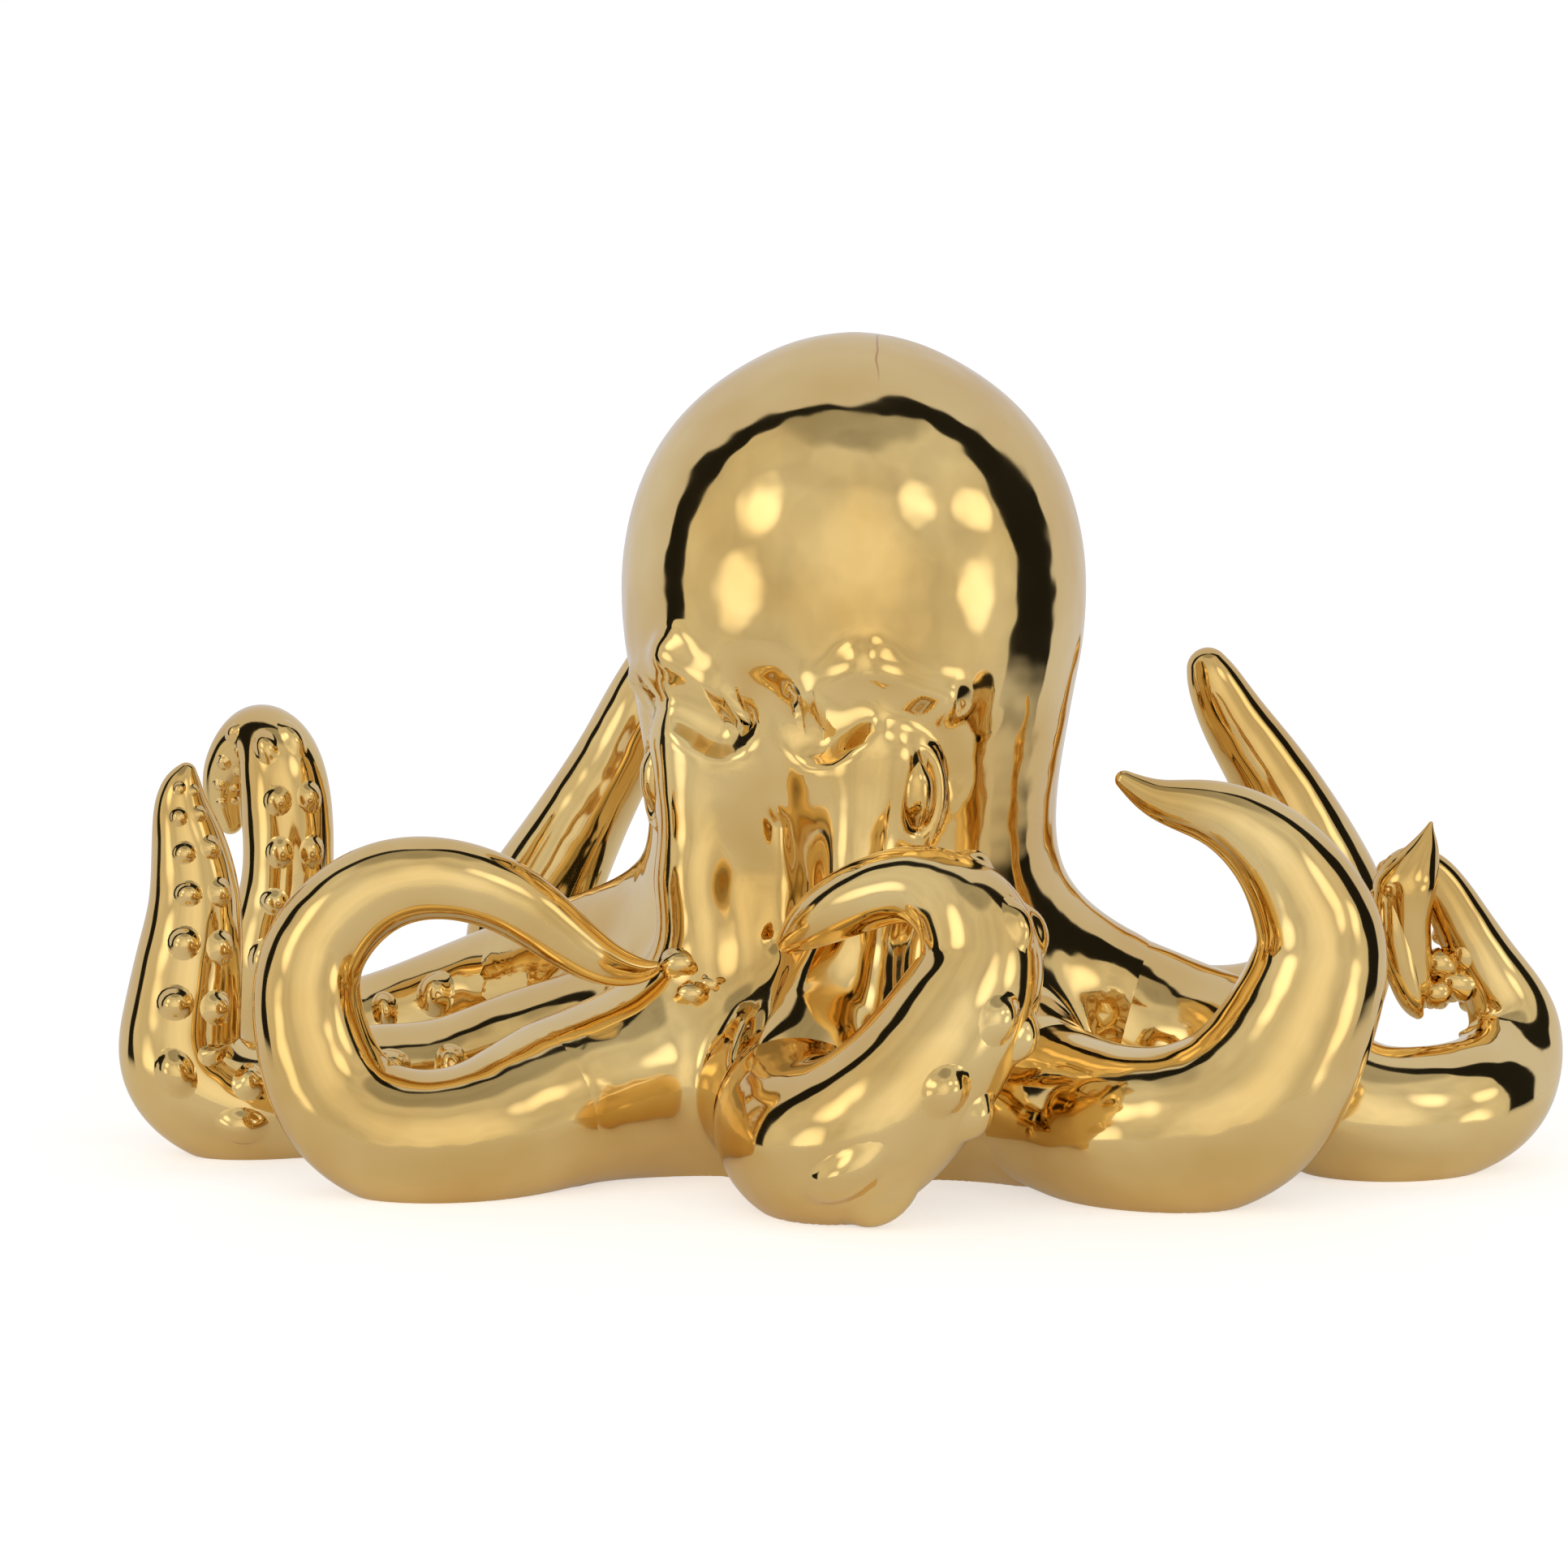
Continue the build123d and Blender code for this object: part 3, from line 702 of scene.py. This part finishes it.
def sucker_seats(name):
    """Places along the arm and outward directions of its suckers, two rows of them."""
    line, first = LINES[name], ARMS[name]["seam"]
    fine = np.linspace(first, line.last, SUCKER_TRIES)
    value, slope, _ = line.at(fine)
    way = unit(slope[:, :3])
    radius = value[:, 3]
    travelled = np.concatenate(
        ((0,), np.cumsum(np.linalg.norm(np.diff(value[:, :3], axis=0), axis=1) / radius[1:]))
    )
    steps = np.arange(1, int(travelled[-1] / SUCKER_STEP) + 1) * SUCKER_STEP
    row = np.searchsorted(travelled, steps).clip(0, len(fine) - 1)
    row = row[radius[row] > SUCKER_LEAST_ARM]
    share = (fine[row] + 1) / (line.last + 1)
    turns = np.array(ARMS[name]["facing"])
    stops = np.linspace(0, 1, len(turns))
    facing = np.stack([np.interp(share, stops, turns[:, axis]) for axis in range(3)], -1)
    facing = unit(facing - way[row] * (facing * way[row]).sum(1, keepdims=True))
    beside = np.cross(way[row], facing)
    turn = radians(SUCKER_ROW_ANGLE)
    seats = np.tile(fine[row], 2)
    outs = np.vstack([facing * cos(turn) + side * beside * sin(turn) for side in (-1, 1)])
    arm_radius = np.tile(radius[row], 2)
    high = line.at(seats)[0][:, 2] + outs[:, 2] * arm_radius > SUCKER_SIZE * arm_radius
    return seats[high], outs[high]


def sucker_skin(line, seats, outs):
    """Soft domes wrapped on an arm: each point is the arm's own skin, lifted by the dome.

    The dome's height over its share of the radius, rho, is (1 - rho squared) cubed,
    made fuller by a power below one, so that it flows into the arm at its rim.
    """
    rho = np.linspace(0, 1, SUCKER_ROWS)[1:]
    phi = np.linspace(0, 2 * pi, SUCKER_COLUMNS, endpoint=False)
    value, slope, _ = line.at(seats)
    size = value[:, 3] * SUCKER_SIZE * SUCKER_SKIRT
    pace = np.linalg.norm(slope[:, :3], axis=1)
    along = rho[:, None] * np.cos(phi)
    round_arm = rho[:, None] * np.sin(phi)
    place = np.clip(seats[:, None, None] + along * (size / pace)[:, None, None], 0, line.last)
    turn = round_arm * (size / value[:, 3])[:, None, None]
    local, local_slope, _ = line.at(place)
    way = unit(local_slope[..., :3])
    out = outs[:, None, None] - way * (outs[:, None, None] * way).sum(-1, keepdims=True)
    out = unit(out)
    beside = np.cross(way, out)
    out = out * np.cos(turn)[..., None] + beside * np.sin(turn)[..., None]
    lift = (1 - rho**SUCKER_FULLNESS) ** 2 * SUCKER_HEIGHT - SUCKER_ROOT
    lift = lift[None, :, None] * value[:, 3][:, None, None]
    points = local[..., :3] + out * (local[..., 3] + lift)[..., None]
    top = value[:, :3] + outs * (value[:, 3] * (1 + SUCKER_HEIGHT - SUCKER_ROOT))[:, None]
    return points, top


def sucker_piece(name, points, tops):
    """One mesh of all the arm's domes: rings of four-sided faces and a fan on each top."""
    count, rows, columns = points.shape[:3]
    each = rows * columns + 1
    places = np.concatenate((tops[:, None], points.reshape(count, -1, 3)), 1).reshape(-1, 3)
    column = np.arange(columns)
    beside = (column + 1) % columns
    start = 1 + np.arange(rows - 1)[:, None] * columns
    quads = np.stack(
        (start + column, start + columns + column, start + columns + beside, start + beside), -1
    ).reshape(-1, 4)
    fan = np.stack((np.zeros(columns, int), 1 + column, 1 + beside), -1)
    shift = np.arange(count)[:, None, None] * each
    faces = (quads + shift).reshape(-1, 4).tolist() + (fan + shift).reshape(-1, 3).tolist()
    mesh = bpy.data.meshes.new(name)
    mesh.from_pydata(places.tolist(), [], faces)
    mesh.shade_smooth()
    mesh.materials.append(GOLD)
    piece = bpy.data.objects.new(name, mesh)
    bpy.context.collection.objects.link(piece)
    return piece


for name in ARMS:
    seats, outs = sucker_seats(name)
    points, tops = sucker_skin(LINES[name], seats, outs)
    suckers = sucker_piece("suckers_" + name + "_skin", points, tops)
    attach(suckers, "root")
    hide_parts("suckers_" + name)


def slip_lump(name, middle, sizes, phase):
    """Lump of slip: an oval ball whose radius swells and shrinks by crossing sine waves.

    The share added is 0.16 sin(3a + phase) sin(2t) + 0.10 sin(5a - 2 phase) sin(4t), with
    a the angle round and t the angle from the top.
    """
    turn = np.linspace(0, pi, 25)[:, None]
    around = np.linspace(0, 2 * pi, 36, endpoint=False)
    swell = (
        1 + 0.16 * np.sin(3 * around + phase) * np.sin(2 * turn)
        + 0.10 * np.sin(5 * around - 2 * phase) * np.sin(4 * turn)
    )
    ball = np.stack((
        np.sin(turn) * np.cos(around), np.sin(turn) * np.sin(around), np.cos(turn) + 0 * around
    ), -1)
    points = np.array(middle) + ball * swell[..., None] * sizes
    return grid_piece(name, points, unit(ball / sizes), False, GOLD)


dab = slip_lump(*TIP_DAB)
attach(dab, "root")
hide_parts("tip_dab")

for name, middle, sizes, phase in SLIP_LUMPS:
    lump = slip_lump(name, middle, sizes, phase)
    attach(lump, "root")


def pinched_peak():
    """Flat ovals carried down a spline, wide at the bend and pointed at both ends."""
    value, slope, _ = SmoothLine(PEAK_ROWS).at(np.linspace(0, len(PEAK_ROWS) - 1, 120))
    around = np.linspace(0, 2 * pi, 56, endpoint=False)
    size = np.maximum(value[:, None, 2:], 0.0002)
    flat = np.stack((size[..., 0] * np.cos(around), size[..., 1] * np.sin(around)), -1)
    points = np.stack((
        value[:, None, 0] + flat[..., 0], PEAK_BACK + flat[..., 1], value[:, None, 1] + 0 * around
    ), -1)
    points[0], points[-1] = points[0].mean(0), points[-1].mean(0)
    normals = unit(np.stack((
        np.cos(around) / size[..., 0], np.sin(around) / size[..., 1], 0 * flat[..., 0]
    ), -1))
    grow = slope[:, None, 2] * np.abs(np.cos(around)) + slope[:, None, 3] * np.abs(np.sin(around))
    normals[..., 2] = -grow / slope[:, None, 1]
    return grid_piece("arm_right_peak", points, unit(normals), False, GOLD)


peak = pinched_peak()
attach(peak, "root")

for node in ("eye_left", "eye_right"):
    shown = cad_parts[node]
    shown.data.materials.clear()
    shown.data.materials.append(GOLD)


def studio_air():
    """Light from all round: a bright front half, a dark gap behind it and a pale back.

    The front half is every direction whose cosine with the front axis is above zero.
    The gap reaches from there to minus a width that grows towards either side.
    """
    world = bpy.data.worlds.new("studio_air")
    bpy.context.scene.world = world
    world.use_nodes = True
    nodes, links = world.node_tree.nodes, world.node_tree.links
    way = nodes.new("ShaderNodeTexCoord").outputs["Generated"]

    def math(kind, first, second=0.0, third=0.0):
        node = nodes.new("ShaderNodeMath")
        node.operation = kind
        for socket, value in zip(node.inputs, (first, second, third)):
            if isinstance(value, float):
                socket.default_value = value
            else:
                links.new(value, socket)
        return node.outputs[0]

    def cosine(direction):
        node = nodes.new("ShaderNodeVectorMath")
        node.operation = "DOT_PRODUCT"
        node.inputs[1].default_value = Vector(direction).normalized()
        links.new(way, node.inputs[0])
        return node.outputs["Value"]

    def step(value, low, high):
        node = nodes.new("ShaderNodeMapRange")
        node.interpolation_type = "SMOOTHSTEP"
        links.new(value, node.inputs["Value"])
        for socket, limit in (("From Min", low), ("From Max", high)):
            if isinstance(limit, float):
                node.inputs[socket].default_value = limit
            else:
                links.new(limit, node.inputs[socket])
        return node.outputs["Result"]

    patches = nodes.new("ShaderNodeTexNoise")
    patches.inputs["Scale"].default_value = 2.6
    patches.inputs["Detail"].default_value = 3.0
    links.new(way, patches.inputs["Vector"])
    patch = patches.outputs["Fac"]
    front = math("ADD", cosine(FRONT_AXIS), math("MULTIPLY_ADD", patch, 0.10, -0.05))
    across = cosine((1.0, 0.0, 0.0))
    upward = cosine((0.0, 0.0, 1.0))
    to_right = math("MAXIMUM", across, 0.0)
    to_left = math("MAXIMUM", math("MULTIPLY", across, -1.0), 0.0)
    gap = math("MULTIPLY_ADD", to_left, GAP_LEFT, GAP_TOP)
    gap = math("MULTIPLY_ADD", to_right, GAP_RIGHT, gap)
    past_gap = math("MULTIPLY", math("ADD", front, gap), -1.0)
    shade = math("MULTIPLY_ADD", step(upward, 0.87, 0.93), -CEILING_DIM, 1.0)
    shade = math("MULTIPLY", shade, math("MULTIPLY_ADD", patch, 0.7, 0.65))
    light = math("MULTIPLY", math("MULTIPLY", step(front, -0.01, 0.02), shade), FRONT_LIGHT)
    light = math("ADD", light, math("MULTIPLY", step(past_gap, -0.02, 0.03), BACK_LIGHT))
    for direction, inner, outer, strength in SOFT_LIGHTS:
        spot = step(cosine(direction), cos(radians(outer)), cos(radians(inner)))
        light = math("ADD", light, math("MULTIPLY", spot, strength))
    light = math("ADD", light, GAP_LIGHT)
    room = nodes["Background"]
    tint = nodes.new("ShaderNodeMix")
    tint.data_type = "RGBA"
    tint.inputs["A"].default_value = FRONT_TINT
    tint.inputs["B"].default_value = BACK_TINT
    links.new(step(past_gap, -0.05, 0.03), tint.inputs["Factor"])
    links.new(tint.outputs["Result"], room.inputs["Color"])
    links.new(light, room.inputs["Strength"])
    paper = nodes.new("ShaderNodeBackground")
    seen = nodes.new("ShaderNodeLightPath")
    either = nodes.new("ShaderNodeMixShader")
    paper.inputs["Color"].default_value = (1.0, 1.0, 1.0, 1.0)
    links.new(seen.outputs["Is Camera Ray"], either.inputs["Fac"])
    links.new(room.outputs["Background"], either.inputs[1])
    links.new(paper.outputs["Background"], either.inputs[2])
    links.new(either.outputs["Shader"], nodes["World Output"].inputs["Surface"])


def studio_floor():
    """Pale sheet under the figurine, as white to the camera as the air behind it.

    Reflections see it only as far as a table's edge, and the air beyond.
    """
    mesh = bpy.data.meshes.new("floor")
    half = FLOOR_SIZE / 2
    mesh.from_pydata(
        [(-half, -half, 0), (half, -half, 0), (half, half, 0), (-half, half, 0)], [], [(0, 1, 2, 3)]
    )
    piece = bpy.data.objects.new("floor", mesh)
    bpy.context.collection.objects.link(piece)
    paint = bpy.data.materials.new("floor_paint")
    paint.use_nodes = True
    nodes, links = paint.node_tree.nodes, paint.node_tree.links
    shader = nodes["Principled BSDF"]
    shader.inputs["Base Color"].default_value = (0.88, 0.88, 0.88, 1.0)
    shader.inputs["Roughness"].default_value = 0.9
    shader.inputs["Specular IOR Level"].default_value = 0.1
    shader.inputs["Emission Color"].default_value = (1.0, 1.0, 1.0, 1.0)
    seen = nodes.new("ShaderNodeLightPath")
    glow = nodes.new("ShaderNodeMath")
    glow.operation = "MULTIPLY_ADD"
    glow.inputs[1].default_value = FLOOR_GLOW - TABLE_GLOW
    glow.inputs[2].default_value = TABLE_GLOW
    links.new(seen.outputs["Is Camera Ray"], glow.inputs[0])
    links.new(glow.outputs[0], shader.inputs["Emission Strength"])
    place = nodes.new("ShaderNodeTexCoord")
    far = nodes.new("ShaderNodeVectorMath")
    far.operation = "LENGTH"
    links.new(place.outputs["Object"], far.inputs[0])
    edge = nodes.new("ShaderNodeMapRange")
    edge.interpolation_type = "SMOOTHSTEP"
    edge.inputs["From Min"].default_value = TABLE_RADIUS
    edge.inputs["From Max"].default_value = TABLE_RADIUS * TABLE_EDGE
    links.new(far.outputs["Value"], edge.inputs["Value"])
    hidden = nodes.new("ShaderNodeMath")
    hidden.operation = "MULTIPLY"
    links.new(edge.outputs["Result"], hidden.inputs[0])
    links.new(seen.outputs["Is Glossy Ray"], hidden.inputs[1])
    nothing = nodes.new("ShaderNodeBsdfTransparent")
    either = nodes.new("ShaderNodeMixShader")
    links.new(hidden.outputs[0], either.inputs["Fac"])
    links.new(shader.outputs["BSDF"], either.inputs[1])
    links.new(nothing.outputs["BSDF"], either.inputs[2])
    links.new(either.outputs["Shader"], nodes["Material Output"].inputs["Surface"])
    mesh.materials.append(paint)


studio_air()
studio_floor()

camera_data = bpy.data.cameras.new("camera")
camera = bpy.data.objects.new("camera", camera_data)
bpy.context.collection.objects.link(camera)
camera.location = CAMERA_PLACE
camera.rotation_euler = (radians(CAMERA_TILT), 0.0, 0.0)
camera_data.lens = CAMERA_LENS
camera_data.sensor_width = 36.0
camera_data.clip_start = 0.05
bpy.context.scene.camera = camera

bpy.context.scene.view_settings.view_transform = "Standard"
